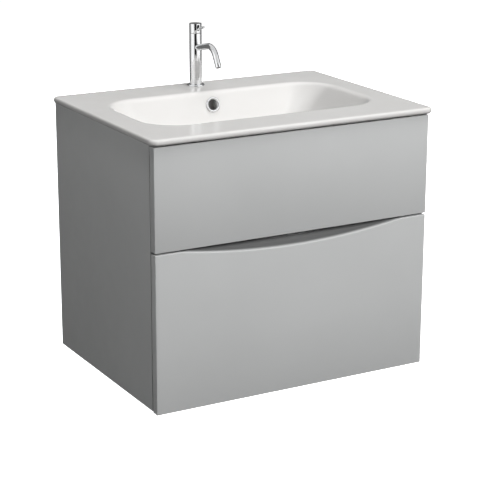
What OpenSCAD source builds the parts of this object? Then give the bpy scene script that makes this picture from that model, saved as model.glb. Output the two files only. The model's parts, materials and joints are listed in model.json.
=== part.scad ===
// Wall-hung vanity cabinet with two drawers, an inset ceramic basin and a slim pin-lever mixer tap.
// X runs to the right, Y into the wall, Z up. The origin is the centre of the four wall fixings, on the wall.

/* [Cabinet] */
// Width over the side boards
cab_w = 600; // [500:10:800]
// Depth from the wall to the faces of the drawer fronts
cab_d = 450; // [420:10:560]
// Height from the bottom of the fronts to the underside of the basin
cab_h = 520; // [500:5:650]
// Thickness of the side boards and the bottom board
board_t = 18; // [16:1:22]
// Thickness of the front and back rails
rail_t = 16; // [15:1:18]
// Height of the two back rails
rail_h = 80; // [60:5:100]
// Height of the front rail under the basin
front_rail_h = 60; // [40:5:80]
// Height of the rail behind the gap between the fronts
middle_rail_h = 50; // [40:5:60]
// Room behind the back rails for pipes and hanging plates
back_room = 18; // [14:1:30]
// How far the side boards stop above the bottom of the fronts
side_lift = 2; // [0:1:6]

/* [Drawer fronts] */
// Thickness of the drawer fronts
front_t = 18; // [16:1:24]
// Height of the lower front
lower_h = 314; // [280:1:335]
// Gap between the two fronts
drawer_gap = 4; // [2:0.5:6]
// Shadow gap between the upper front and the basin
top_gap = 3; // [2:0.5:8]
// Gap between the fronts and the cabinet behind them
front_gap = 2; // [1:0.5:4]
// Width of the curved finger scoop in the lower front
scoop_w = 490; // [300:10:490]
// Depth of the scoop below the top edge of the lower front
scoop_h = 20.5; // [14:0.5:28]
// How much of the scoop is left at the back of the front
scoop_back = 2.5; // [1:0.5:6]
// Lip left in front of the finger groove under the upper front
groove_lip = 7; // [5:0.5:9]

/* [Drawer boxes] */
// Thickness of the drawer box boards
box_t = 12; // [10:1:16]
// Thickness of the drawer bottoms
bottom_t = 8; // [6:1:10]
// Depth of the groove that holds a drawer bottom
groove_d = 5; // [4:0.5:6]
// Height of the lower drawer box
lower_box_h = 200; // [130:5:230]
// Height of the lower box above the bottom board
lower_box_up = 8; // [6:1:20]
// Height of the upper box above the lower edge of its front
upper_box_up = 8; // [6:1:16]
// Room between the drawer boxes and the back rails
box_back_room = 28; // [20:1:40]
// Width of the cut-out round the waste pipe in the upper drawer
trap_w = 180; // [150:5:220]
// Length of that cut-out in front of the centre of the waste
trap_front = 66; // [55:1:80]

/* [Runners] */
// Room for one runner between the cabinet and a drawer box
runner_gap = 13; // [12.5:0.1:14]
// Height of a runner
runner_h = 45; // [40:1:46]
// Sheet thickness of the runner channels
runner_t = 1.2; // [1:0.1:1.5]
// Room for the balls between two nested channels
ball_gap = 1.8; // [1.5:0.1:2.2]

/* [Basin] */
// Thickness of the basin's rim
deck_t = 12; // [11:1:18]
// Rounding of the rim's edges
deck_edge_r = 5; // [3:0.5:5]
// Rounding of the rim's corners, seen from above
deck_corner_r = 15; // [10:1:30]
// Overhang of the basin past each side board
over_side = 8; // [2:1:12]
// Overhang of the basin past the drawer fronts
over_front = 8; // [2:1:12]
// Flat rim left and right of the bowl
side_deck = 58; // [40:1:80]
// Flat rim in front of the bowl
front_deck = 96; // [85:1:110]
// Flat deck behind the bowl, which carries the tap
back_deck = 106; // [100:1:130]
// Depth of the bowl at the waste
bowl_depth = 100; // [80:1:120]
// Thickness of the ceramic
bowl_wall = 9; // [7:0.5:12]
// Lean of the bowl's back wall from upright
back_lean = 14; // [8:1:20]
// Clear height between the bowl and the upper drawer box
bowl_clear = 11; // [6:1:20]

/* [Waste and overflow] */
// Radius of the waste hole in the ceramic
waste_hole_r = 23; // [22.5:0.5:24]
// Radius of the waste's flange
waste_flange_r = 31; // [29:0.5:34]
// Radius of the waste's threaded tail
tail_r = 20.95; // [20.95:0.05:22]
// Length of the threaded tail
tail_l = 30; // [20:1:40]
// Travel of the push-open waste plug
plug_travel = 8; // [6:1:10]
// Depth of the overflow's centre below the rim
overflow_drop = 27; // [24:1:32]
// Radius of the overflow ring
overflow_r = 16; // [14:0.5:18]

/* [Tap] */
// Radius of the tap's body
tap_r = 12.75; // [12.5:0.25:16]
// Height of the tap above the basin
tap_h = 130; // [120:1:170]
// Height of the turning cap
cap_h = 19.6; // [19.6:0.2:26]
// Distance of the tap's centre from the wall
tap_back = 38; // [36:1:50]
// Radius of the base ring
tap_base_r = 18.5; // [18:0.5:25]
// Radius of the spout
spout_r = 6.35; // [6:0.05:8]
// Height of the spout's root above the basin
spout_up = 79; // [74:1:85]
// Rise of the spout's first stretch
spout_rise = 12; // [0:1:20]
// Length of the spout's first stretch, from the body's centre
spout_lead = 55; // [40:1:70]
// Radius of the spout's bend
spout_bend_r = 32; // [25:1:45]
// Angle of the spout's bend
spout_bend = 72; // [60:1:90]
// Length of the spout's last stretch
spout_tail = 25; // [15:1:35]
// Radius of the pin lever
lever_r = 2.5; // [2:0.1:2.6]
// Length of the pin lever from its pivot
lever_l = 40.7; // [30:0.1:50]
// Rise of the lever when the tap is closed
lever_rise = 18; // [18:1:20]
// Angle that the lever lifts through
lever_lift = 20; // [14:1:20]

/* [Fixings] */
// Radius of the wood screws
screw_r = 2; // [1.8:0.1:2.2]
// Length of the wood screws
screw_l = 10; // [8:0.5:10]
// Radius of a screw head
screw_head_r = 3.6; // [3.4:0.1:4]
// Height of a screw head
screw_head_h = 1.5; // [1.2:0.1:1.6]
// Radius of the cam discs
cam_r = 7.5; // [7.5:0.1:8]
// Height of the cam discs
cam_h = 12.5; // [12:0.5:13]
// Distance of a cam's centre from the end of its board
cam_back = 34; // [24:1:34]
// Radius of the cam bolts
bolt_r = 2.5; // [2.5:0.1:3]
// Depth of a cam bolt in the side board
bolt_in = 9; // [8:0.5:11]
// Drop of the wall fixings below the basin
fix_drop = 40; // [40:1:60]
// Distance between the two holes of a hanging plate
plate_pitch = 16; // [12:1:20]
// Radius of the holes in the hanging plates
plate_hole_r = 3; // [2.5:0.1:3.5]
// Sheet thickness of the hanging plates
plate_t = 2.5; // [2:0.1:3]

/* [Hidden] */
$fn = 48;

// Colours
lacquer = [0.70, 0.715, 0.71];
board_white = [0.86, 0.86, 0.84];
zinc = [0.68, 0.70, 0.72];
chrome = [0.80, 0.82, 0.84];
glaze = [0.93, 0.93, 0.92];
rubber = [0.15, 0.15, 0.16];
clear_soft = [0.80, 0.82, 0.82];
plastic_grey = [0.45, 0.46, 0.48];

// Clearances
cut = 1;          // how far a cutting shape runs past a face
hole_clear = 0.1; // round a screw, bolt or cam
run_clear = 0.05; // round a piece that turns or slides in a bore
fit_clear = 0.2;  // round a loose fitted board or sheet

// Levels and planes
left = -1;
right = 1;
z_deck = fix_drop;                       // underside of the basin
z_bot = z_deck - cab_h;                  // bottom of the fronts
z_rim = z_deck + deck_t;                 // top of the basin
z_side = z_bot + side_lift;              // bottom of the side boards
z_floor = z_rim - bowl_depth;            // bowl at the waste
y_face = -cab_d;                         // faces of the fronts
y_box = y_face + front_t;                // backs of the fronts
y_case = y_box + front_gap;              // front edges of the cabinet
case_w = cab_w - 2 * board_t;            // width inside the cabinet
half_case = case_w / 2;
y_rail = -(back_room + rail_t);          // front faces of the back rails
z_upper = z_bot + lower_h + drawer_gap;  // bottom of the upper front
upper_h = z_deck - top_gap - z_upper;

// Basin outline
basin_w = cab_w + 2 * over_side;
basin_d = cab_d + over_front;

// Bowl outline: each level is [drop below the rim, half width, front y, back y, corner radius]
bowl_half_w = cab_w / 2 + over_side - side_deck;
y_bowl_back = -back_deck;
y_bowl_front = y_face - over_front + front_deck;
bowl_mid = bowl_depth * 0.68;
bowl_low = bowl_depth * 0.93;
bowl_levels = [
  [0, bowl_half_w, y_bowl_front, y_bowl_back, 76],
  [bowl_mid, bowl_half_w - 54, y_bowl_front + 30, y_bowl_back - bowl_mid * tan(back_lean), 40],
  [bowl_low, bowl_half_w - 98, y_bowl_front + 62, y_bowl_back - 52, 32]
];
y_waste = (y_bowl_front + y_bowl_back) / 2;
waste_seat = 3;                          // depth of the flange's seat
z_boss = z_floor - 27;                   // underside of the ceramic at the waste
duct_w = 24;                             // overflow duct inside the ceramic
duct_h = 8;
duct_d = 11;
duct_wall = 5;
z_duct = z_floor - 18;                   // bottom of the duct's lower run
z_overflow = z_rim - overflow_drop;
y_overflow = y_bowl_back - overflow_drop * tan(back_lean);
y_duct = y_overflow + bowl_wall / cos(back_lean);

// Waste: all levels hang from the bowl's floor
tube_r = tail_r - 0.35;                  // plain tube above the thread
waste_bore_r = 18;
z_tail = z_floor - 52;                   // top of the thread
guide_top = z_floor - 28;                // bar that guides the plug's stem
guide_h = 6;
guide_w = 9.2;
plug_stem_r = 3;
stem_over = 4;                           // stem left below the guide with the plug up
gasket_t = 3;
waste_nut_h = 10;

// Drawer boxes
half_box = half_case - runner_gap;
box_len = -y_box + y_rail - box_back_room;
y_box_end = y_box + box_len;
z_lower_box = z_side + board_t + lower_box_up;
z_upper_box = z_upper + upper_box_up;
bowl_under = z_floor - bowl_wall;
upper_box_h = bowl_under - bowl_clear - z_upper_box;
groove_up = 8;                           // groove above the box's lower edge
z_upper_inside = z_upper_box + groove_up + bottom_t;
z_lower_inside = z_lower_box + groove_up + bottom_t;
y_trap = y_waste - trap_front;           // front end of the cut-out

// Runners
runner_inset = 4;                        // from the backs of the fronts
runner_len = box_len - 20;
y_runner = y_box + runner_inset;
z_upper_runner = z_upper_box + runner_h / 2 + 2;
z_lower_runner = z_lower_box + runner_h / 2 + 2;
runner_holes = [y_runner + 60, y_runner + runner_len - 60];
outer_flange = 10;                       // widths of the channels
mid_flange = 8.1;
inner_flange = 6.5;
mid_web_in = 3.4;                        // from the cabinet side to the middle channel
mid_h = runner_h - 2 * (runner_t + ball_gap);
inner_h = mid_h - 2 * (runner_t + ball_gap);

// Brackets behind the fronts
bracket_h = 40;
bracket_t = 2;
bracket_front = 20;
bracket_side = 30;
bracket_up = groove_up + bottom_t + 6;   // first bracket above the box's lower edge
upper_bracket_z = [z_upper_box + bracket_up];
lower_bracket_z = [z_lower_box + bracket_up, z_lower_box + lower_box_h - bracket_h - 20];

// Hanging plates and hangers
plate_w = 60;
plate_x = half_case - 32;
plate_low = -plate_pitch / 2 - 8;
plate_top = plate_pitch / 2 + 11;
lip_out = 9;                             // from the wall to the front of the plate's lip
lip_up = 10;
hook_t = 3;
hanger_w = 16;
hanger_y = y_rail - 46;
hanger_len = 42;
hanger_low = plate_low - 2;
hanger_top = z_deck - 4;
ear_l = 10;
ear_t = 3;
hanger_screw_z = [hanger_low + 10, hanger_top - 10];

// Cam joints: [y, z, turn of the disc's open face about X, board thickness]
mid_bottom = z_side + board_t / 2;
cams_bottom = [for (y = [y_case + 50, y_rail - 40]) [y, mid_bottom, 0, board_t]];
cams_front = [[y_case + rail_t / 2, z_deck - front_rail_h / 2, -90, rail_t]];
z_middle_rail = z_upper_box - drawer_gap; // top of the middle rail
cams_middle = [[y_case + rail_t / 2, z_middle_rail - middle_rail_h / 2, -90, rail_t]];
z_lower_rail = z_side + board_t;
z_upper_rail = z_deck - front_rail_h - rail_h;
cam_spread = rail_h / 4;
function rail_cams(z) =
  [for (s = [-1, 1]) [-back_room - rail_t / 2, z + rail_h / 2 + s * cam_spread, 90, rail_t]];
cams_lower_rail = rail_cams(z_lower_rail);
cams_upper_rail = rail_cams(z_upper_rail);
cams_all = concat(cams_bottom, cams_front, cams_middle, cams_lower_rail, cams_upper_rail);
bolt_l = cam_back - cam_r - hole_clear + bolt_in;

// Bumpers on the front edges of the side boards
bumper_r = 4;
bumper_z = [z_side + 30, z_bot + lower_h - 30, z_upper + 30, z_deck - 30];

// Tap levels
y_tap = -tap_back;
tap_foot = 6;                            // how far the tap reaches into the deck
tap_hole_r = 17.5;
seam = 0.4;                              // between the body and the cap
z_cap = z_rim + tap_h - cap_h;
z_body_top = z_cap - seam;
cartridge_h = 22;
cartridge_r = 10;
chamber_h = 22;
cap_bore_r = 9.5;
collar_h = 3;
collar_bore_r = 6.5;
z_pivot = z_body_top + 5;
barrel_r = 4;
barrel_l = 9;
trunnion_r = 1.5;
trunnion_l = 23.4;
hollow_h = 13.6;
spout_bore_r = spout_r - 1.55;
spout_in = 5;                            // the spout's bore starts this far from the body's centre
bend_lap = 2;                            // angle that the bend's ends run into the straight stretches
bend_inset = 0.05;                       // the bend is this much slimmer, so its ends lie inside them
inlet_r = 4;
inlet_l = 14;
z_body_foot = z_rim - tap_foot + inlet_l;
inlet_x = 5.6;
inlet_y = -3.5;
passage_r = 2.5;
stud_r = 3;
stud_y = 7.5;
stud_in = 12;
stud_l = 52;
washer_r = 24;
washer_t = 3;
nut_h = 8;

// Mirrors a piece drawn on the right to the left
module on_side(side) mirror([side < 0 ? 1 : 0, 0, 0]) children();

// A block from its lowest to its highest corner
module block(low, high) translate(low) cube(high - low);

// A round bar along X
module bar_x(r, length) rotate([0, 90, 0]) cylinder(r = r, h = length);

/* Fasteners: each screw starts at its head's underside and points along local -Z */

module screw() {
  translate([0, 0, -screw_l]) cylinder(r = screw_r, h = screw_l);
  difference() {
    cylinder(r = screw_head_r, h = screw_head_h);
    for (a = [0, 90]) rotate(a) translate([-2, -0.4, 0.5]) cube([4, 0.8, screw_head_h]);
  }
}

module screw_hole() translate([0, 0, -screw_l - cut]) cylinder(r = screw_r + hole_clear, h = screw_l + 4 * cut);

// Screws through the cabinet's own members of the runners, on the right
module outer_runner_at(zc)
  for (y = runner_holes) translate([half_case - runner_t, y, zc]) rotate([0, -90, 0]) children();

// Screws through the drawer members of the runners, on the right
module inner_runner_at(zc)
  for (y = runner_holes) translate([half_box + runner_t, y, zc]) rotate([0, 90, 0]) children();

// Screws through the ears of a hanger, on the right
module hanger_at()
  for (z = hanger_screw_z)
    translate([half_case - ear_t, hanger_y - ear_l / 2, z]) rotate([0, -90, 0]) children();

// Screws from a bracket into the back of a drawer front, on the right
module bracket_front_at(levels)
  for (z = levels) for (up = [10, bracket_h - 10])
    translate([half_box - box_t - bracket_front / 2 - 1, y_box + bracket_t, z + up])
      rotate([-90, 0, 0]) children();

// Screws from a bracket into a drawer side, on the right
module bracket_side_at(levels)
  for (z = levels) for (up = [10, bracket_h - 10])
    translate([half_box - box_t - bracket_t, y_box + bracket_side - 10, z + up])
      rotate([0, -90, 0]) children();

/* Cam joints */

module cam_frame(cams)
  for (side = [left, right]) on_side(side) for (c = cams)
    translate([half_case - cam_back, c[0], c[1]]) rotate([c[2], 0, 0])
      translate([0, 0, c[3] / 2 - cam_h]) children();

module bolt_frame(cams)
  for (side = [left, right]) on_side(side) for (c = cams)
    translate([half_case - cam_back + cam_r + hole_clear, c[0], c[1]]) children();

module cam_cuts(cams) {
  cam_frame(cams) translate([0, 0, -hole_clear]) cylinder(r = cam_r + hole_clear, h = cam_h + hole_clear + cut);
  bolt_frame(cams) translate([-cut, 0, 0]) bar_x(bolt_r + hole_clear, bolt_l + cut + hole_clear);
}

module cam_discs() color(zinc) cam_frame(cams_all) difference() {
  cylinder(r = cam_r, h = cam_h);
  for (a = [0, 90]) rotate(a) translate([-3, -0.6, cam_h - 2]) cube([6, 1.2, 2 + cut]);
}

module cam_bolts() color(zinc) bolt_frame(cams_all) bar_x(bolt_r, bolt_l);

/* Cabinet */

module side_panel(side) color(lacquer) on_side(side) difference() {
  block([half_case, y_case, z_side], [half_case + board_t, 0, z_deck]);
  cam_cuts(cams_all);
  outer_runner_at(z_upper_runner) screw_hole();
  outer_runner_at(z_lower_runner) screw_hole();
  hanger_at() screw_hole();
}

module bottom_panel() color(lacquer) difference() {
  block([-half_case, y_case, z_side], [half_case, -back_room, z_side + board_t]);
  cam_cuts(cams_bottom);
}

module front_rail() color(board_white) difference() {
  block([-half_case, y_case, z_deck - front_rail_h], [half_case, y_case + rail_t, z_deck]);
  cam_cuts(cams_front);
}

module middle_rail() color(lacquer) difference() {
  block([-half_case, y_case, z_middle_rail - middle_rail_h], [half_case, y_case + rail_t, z_middle_rail]);
  cam_cuts(cams_middle);
}

module back_rail(z, cams) color(board_white) difference() {
  block([-half_case, y_rail, z], [half_case, -back_room, z + rail_h]);
  cam_cuts(cams);
}

module hanger(side) color(zinc) on_side(side) difference() {
  union() {
    block([half_case - hanger_w, hanger_y, hanger_low], [half_case, hanger_y + hanger_len, hanger_top]);
    block([half_case - ear_t, hanger_y - ear_l, hanger_low], [half_case, hanger_y, hanger_top]);
    hook();
  }
  hanger_at() screw_hole();
  // adjusting screw's well
  translate([half_case - hanger_w / 2 - 2, hanger_y - cut, 0]) rotate([-90, 0, 0]) cylinder(r = 4, h = 10 + cut);
}

// The hook of a hanger: a flat steel hook behind the lip of the hanging plate
module hook() {
  arm_z = plate_top + lip_up + 1;
  tip_front = -lip_out + plate_t + 0.7;
  tip_back = -plate_t - 0.5;
  tip_z = plate_top + 1;
  y_root = hanger_y + hanger_len - cut;
  translate([half_case - hanger_w / 2 - hook_t / 2, 0, 0]) rotate([90, 0, 90]) linear_extrude(hook_t)
    polygon([
      [y_root, arm_z - 6], [y_root, arm_z + 4], [tip_back, arm_z + 4], [tip_back, tip_z],
      [tip_front, tip_z], [tip_front, arm_z], [y_root + 10, arm_z]
    ]);
}

module wall_plate(side) color(zinc) on_side(side) difference() {
  union() {
    block([plate_x - plate_w / 2, -plate_t, plate_low], [plate_x + plate_w / 2, 0, plate_top]);
    block([plate_x - plate_w / 2, -lip_out, plate_top - plate_t], [plate_x + plate_w / 2, 0, plate_top]);
    block([plate_x - plate_w / 2, -lip_out, plate_top - plate_t],
          [plate_x + plate_w / 2, -lip_out + plate_t, plate_top + lip_up]);
  }
  for (z = [-1, 1]) translate([plate_x, cut, z * plate_pitch / 2]) rotate([90, 0, 0])
    cylinder(r = plate_hole_r, h = plate_t + 2 * cut);
}

module carcass_screws() color(zinc) for (side = [left, right]) on_side(side) {
  outer_runner_at(z_upper_runner) screw();
  outer_runner_at(z_lower_runner) screw();
  hanger_at() screw();
}

module front_bumpers() color(clear_soft) for (side = [left, right]) on_side(side) for (z = bumper_z)
  translate([half_case + board_t / 2, y_case, z]) rotate([90, 0, 0])
    cylinder(r = bumper_r, h = front_gap - hole_clear);

/* Runners: three nested steel channels, drawn on the right */

module channel(x_web, flange, h, into) difference() {
  block([into < 0 ? x_web - flange : x_web, 0, -h / 2], [into < 0 ? x_web : x_web + flange, runner_len, h / 2]);
  translate([into * runner_t, 0, 0])
    block([into < 0 ? x_web - flange : x_web, -cut, -h / 2 + runner_t],
          [into < 0 ? x_web : x_web + flange, runner_len + cut, h / 2 - runner_t]);
}

module runner_outer(side, zc) color(zinc) on_side(side) difference() {
  translate([0, y_runner, zc]) channel(half_case, outer_flange, runner_h, -1);
  outer_runner_at(zc) screw_hole();
}

module runner_mid(side, zc) color(zinc) on_side(side)
  translate([0, y_runner, zc]) channel(half_case - mid_web_in, mid_flange, mid_h, -1);

module runner_inner(side, zc) color(zinc) on_side(side) difference() {
  translate([0, y_runner, zc]) channel(half_box, inner_flange, inner_h, 1);
  inner_runner_at(zc) screw_hole();
}

/* Drawers */

module upper_front() color(lacquer) difference() {
  block([-cab_w / 2, y_face, z_upper], [cab_w / 2, y_box, z_upper + upper_h]);
  translate([-scoop_w / 2 + 30, y_box, z_upper]) bar_x(front_t - groove_lip, scoop_w - 60);
  for (side = [left, right]) on_side(side) bracket_front_at(upper_bracket_z) screw_hole();
}

// The scoop is a ring-shaped cut with a wide radius, hollowed towards its upper back edge
module scoop() {
  radius = (pow(scoop_w / 2, 2) + pow(scoop_h, 2)) / (2 * scoop_h);
  rise = scoop_h - scoop_back;
  chord = sqrt(pow(front_t, 2) + pow(rise, 2));
  slope = atan2(rise, front_t);
  half_sweep = 30;
  steps = 8;
  function turn(i) = slope - half_sweep + 2 * half_sweep * i / steps;
  bend_r = chord / (2 * sin(half_sweep));
  cove = [for (i = [0:steps]) [
    radius - bend_r * (cos(turn(0)) - cos(turn(i))),
    bend_r * (sin(turn(i)) - sin(turn(0)))
  ]];
  translate([0, y_face, z_bot + lower_h - scoop_h + radius]) rotate([-90, 0, 0])
    rotate_extrude($fn = 720)
      polygon(concat([[0, -cut], [radius, -cut]], cove,
                     [[radius - rise, front_t + cut], [0, front_t + cut]]));
}

module lower_front() color(lacquer) difference() {
  block([-cab_w / 2, y_face, z_bot], [cab_w / 2, y_box, z_bot + lower_h]);
  scoop();
  for (side = [left, right]) on_side(side) bracket_front_at(lower_bracket_z) screw_hole();
}

module box_side(side, z, h, zc, levels) color(board_white) on_side(side) difference() {
  block([half_box - box_t, y_box, z], [half_box, y_box_end, z + h]);
  block([half_box - box_t - cut, y_box - cut, z + groove_up],
        [half_box - box_t + groove_d, y_box_end + cut, z + groove_up + bottom_t + fit_clear]);
  inner_runner_at(zc) screw_hole();
  bracket_side_at(levels) screw_hole();
}

module box_bottom(z) {
  edge = half_box - box_t + groove_d - fit_clear;
  block([-edge, y_box, z + groove_up], [edge, y_box_end, z + groove_up + bottom_t]);
}

module upper_bottom() color(board_white) difference() {
  box_bottom(z_upper_box);
  block([-trap_w / 2, y_trap, z_upper_box], [trap_w / 2, y_box_end + cut, z_upper_inside + cut]);
}

module upper_back(side) color(board_white) on_side(side)
  block([trap_w / 2 + box_t, y_box_end - box_t, z_upper_inside],
        [half_box - box_t, y_box_end, z_upper_box + upper_box_h]);

module upper_trap_surround() color(board_white) difference() {
  block([-trap_w / 2 - box_t, y_trap - box_t, z_upper_inside],
        [trap_w / 2 + box_t, y_box_end, z_upper_box + upper_box_h]);
  block([-trap_w / 2, y_trap, z_upper_inside - cut], [trap_w / 2, y_box_end + cut, z_upper_box + upper_box_h + cut]);
}

module lower_bottom() color(board_white) box_bottom(z_lower_box);

module lower_back() color(board_white)
  block([-half_box + box_t, y_box_end - box_t, z_lower_inside],
        [half_box - box_t, y_box_end, z_lower_box + lower_box_h]);

module brackets(levels) color(zinc) for (side = [left, right]) on_side(side) difference() {
  for (z = levels) {
    block([half_box - box_t - bracket_front, y_box, z], [half_box - box_t, y_box + bracket_t, z + bracket_h]);
    block([half_box - box_t - bracket_t, y_box, z], [half_box - box_t, y_box + bracket_side, z + bracket_h]);
  }
  bracket_front_at(levels) screw_hole();
  bracket_side_at(levels) screw_hole();
}

module drawer_screws(zc, levels) color(zinc) for (side = [left, right]) on_side(side) {
  inner_runner_at(zc) screw();
  bracket_front_at(levels) screw();
  bracket_side_at(levels) screw();
}

/* Basin */

// A slab section with rounded edges, from y = 0 to y = w and z = 0 to z = deck_t
module slab_section(w) {
  translate([deck_edge_r, 0]) square([w - 2 * deck_edge_r, deck_t]);
  translate([0, deck_edge_r]) square([w, deck_t - 2 * deck_edge_r]);
  for (y = [deck_edge_r, w - deck_edge_r]) for (z = [deck_edge_r, deck_t - deck_edge_r])
    translate([y, z]) circle(r = deck_edge_r);
}

module deck_slab() translate([-basin_w / 2, -basin_d, z_deck]) {
  translate([deck_corner_r, 0, 0]) rotate([90, 0, 90]) linear_extrude(basin_w - 2 * deck_corner_r) slab_section(basin_d);
  translate([0, basin_d - deck_corner_r, 0]) rotate([90, 0, 0])
    linear_extrude(basin_d - 2 * deck_corner_r) slab_section(basin_w);
  for (x = [deck_corner_r, basin_w - deck_corner_r]) for (y = [deck_corner_r, basin_d - deck_corner_r])
    translate([x, y, 0]) rotate_extrude() intersection() {
      translate([-deck_corner_r, 0]) slab_section(2 * deck_corner_r);
      square([deck_corner_r, deck_t]);
    }
}

// The bowl's hollow with grow = 0, and its outside with grow = bowl_wall
module bowl_form(grow) hull() {
  for (l = bowl_levels) for (side = [left, right]) {
    z = l[0] == 0 ? (grow > 0 ? z_deck + cut : z_rim) : z_rim - l[0] - grow;
    for (y = [l[2] + l[4], l[3] - l[4]])
      translate([side * (l[1] - l[4]), y, z]) cylinder(r = l[4] + grow, h = cut, $fn = 40);
  }
  translate([0, y_waste, z_floor - grow]) cylinder(r = waste_flange_r + 4 + grow, h = cut, $fn = 40);
}

module overflow_frame() translate([0, y_overflow, z_overflow]) rotate([90 - back_lean, 0, 0]) children();

module basin() color(glaze) difference() {
  union() {
    deck_slab();
    bowl_form(bowl_wall);
    translate([0, y_waste, z_boss]) cylinder(r = waste_hole_r + 13, h = z_floor - z_boss - waste_seat);
    // ceramic round the overflow duct
    block([-duct_w / 2 - duct_wall, y_waste, z_duct - duct_wall],
          [duct_w / 2 + duct_wall, y_duct + duct_d + duct_wall, z_floor - waste_seat - cut]);
    block([-duct_w / 2 - duct_wall, y_overflow - 30, z_duct - duct_wall],
          [duct_w / 2 + duct_wall, y_duct + duct_d + duct_wall, z_deck + cut]);
  }
  bowl_form(0);
  translate([0, y_waste, z_boss - cut]) cylinder(r = waste_hole_r, h = bowl_depth);
  translate([0, y_waste, z_floor - waste_seat]) cylinder(r = waste_flange_r + 1, h = bowl_depth);
  translate([0, y_tap, z_deck - cut]) cylinder(r = tap_hole_r, h = deck_t + 2 * cut);
  overflow_frame() translate([0, 0, -bowl_wall - duct_d / 2]) cylinder(r = overflow_r - 4, h = bowl_wall + duct_d);
  // the duct: down behind the back wall, then forward under the bowl to the waste
  block([-duct_w / 2, y_duct, z_duct], [duct_w / 2, y_duct + duct_d, z_overflow + duct_d]);
  block([-duct_w / 2, y_waste, z_duct], [duct_w / 2, y_duct + duct_d, z_duct + duct_h]);
}

module overflow_ring() color(chrome) overflow_frame() difference() {
  union() {
    cylinder(r = overflow_r, h = 2);
    translate([0, 0, 2]) cylinder(r1 = overflow_r, r2 = overflow_r - 1.5, h = 1.5);
    translate([0, 0, -bowl_wall]) cylinder(r = overflow_r - 4 - hole_clear, h = bowl_wall + cut);
  }
  translate([0, 0, -bowl_wall - cut]) cylinder(r = overflow_r - 6, h = bowl_wall + 6);
}

module waste_body() color(chrome) translate([0, y_waste, 0]) difference() {
  union() {
    translate([0, 0, z_floor - waste_seat]) cylinder(r = waste_flange_r, h = waste_seat);
    translate([0, 0, z_tail]) cylinder(r = tube_r, h = z_floor - z_tail);
    translate([0, 0, z_tail - tail_l]) cylinder(r = tail_r, h = tail_l);
  }
  difference() {
    translate([0, 0, z_tail - tail_l - cut]) cylinder(r = waste_bore_r, h = z_floor - z_tail + tail_l + 2 * cut);
    // the bar that guides the plug's stem
    block([-waste_bore_r - cut, -guide_w / 2, guide_top - guide_h], [waste_bore_r + cut, guide_w / 2, guide_top]);
  }
  translate([0, 0, guide_top - guide_h - cut]) cylinder(r = plug_stem_r + run_clear, h = guide_h + 2 * cut);
  block([-6, -waste_flange_r, z_duct], [6, waste_flange_r, z_duct + duct_h]);
}

module waste_plug() color(chrome) translate([0, y_waste, 0]) {
  translate([0, 0, z_floor + fit_clear]) cylinder(r = waste_flange_r - 1, h = 2);
  translate([0, 0, z_floor + fit_clear + 2]) cylinder(r1 = waste_flange_r - 1, r2 = waste_flange_r - 5, h = 1.6);
  translate([0, 0, z_floor + fit_clear + 3.6])
    cylinder(r1 = waste_flange_r - 5, r2 = waste_flange_r - 16, h = 1.2);
  stem_low = guide_top - guide_h - plug_travel - stem_over;
  translate([0, 0, stem_low]) cylinder(r = plug_stem_r, h = z_floor + cut - stem_low);
}

module waste_gasket() color(rubber) translate([0, y_waste, z_boss - gasket_t]) difference() {
  cylinder(r = waste_hole_r + 7, h = gasket_t);
  translate([0, 0, -cut]) cylinder(r = tube_r + hole_clear, h = gasket_t + 2 * cut);
}

module waste_nut() color(chrome) translate([0, y_waste, z_boss - gasket_t - waste_nut_h]) difference() {
  cylinder(r = waste_hole_r + 10, h = waste_nut_h, $fn = 6);
  translate([0, 0, -cut]) cylinder(r = tube_r + hole_clear, h = waste_nut_h + 2 * cut);
}

/* Tap */

module tap_base() color(chrome) translate([0, y_tap, z_rim]) difference() {
  union() {
    cylinder(r = tap_base_r, h = 2.4);
    translate([0, 0, 2.4]) cylinder(r1 = tap_base_r, r2 = tap_base_r - 1.6, h = 1.6);
  }
  translate([0, 0, -cut]) cylinder(r = tap_r + run_clear, h = 4 + 2 * cut);
}

// Local frame of the spout: +X runs out along its first stretch
module spout_frame() translate([0, y_tap, z_rim + spout_up]) rotate([0, 0, -90]) rotate([0, -spout_rise, 0]) children();

// Local frame of the spout's last stretch: +X runs out of its mouth
module mouth_frame() spout_frame() translate([spout_lead, 0, -spout_bend_r]) rotate([0, spout_bend, 0])
  translate([0, 0, spout_bend_r]) children();

module spout_run(r, before, after) {
  spout_frame() {
    translate([before, 0, 0]) bar_x(r, spout_lead - before);
    translate([spout_lead, 0, -spout_bend_r]) rotate([90, 0, 0]) rotate([0, 0, 90 - spout_bend - bend_lap])
      rotate_extrude(angle = spout_bend + 2 * bend_lap) translate([spout_bend_r, 0]) circle(r = r - bend_inset);
  }
  mouth_frame() bar_x(r, spout_tail + after);
}

module tap_spout() color(chrome) difference() {
  spout_run(spout_r, spout_in + tap_r / 2, 0);
  spout_run(spout_bore_r, spout_in, cut);
}

module tap_aerator() color(rubber) mouth_frame() translate([spout_tail - 5.6, 0, 0]) difference() {
  bar_x(spout_bore_r - run_clear, 5.2);
  for (a = [0:60:300]) rotate([a, 0, 0]) translate([-cut, 0, 2.6]) bar_x(0.8, 5.2 + 2 * cut);
  translate([-cut, 0, 0]) bar_x(0.8, 5.2 + 2 * cut);
}

// The lowest slice of the tap, which the hoses and the stud screw into
module tap_foot_block() color(chrome) translate([0, y_tap, z_rim - tap_foot]) difference() {
  cylinder(r = tap_r, h = inlet_l);
  for (side = [left, right]) translate([side * inlet_x, inlet_y, -cut]) cylinder(r = inlet_r, h = inlet_l + 2 * cut);
  translate([0, stud_y, -cut]) cylinder(r = stud_r + run_clear, h = stud_in + cut);
}

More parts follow.
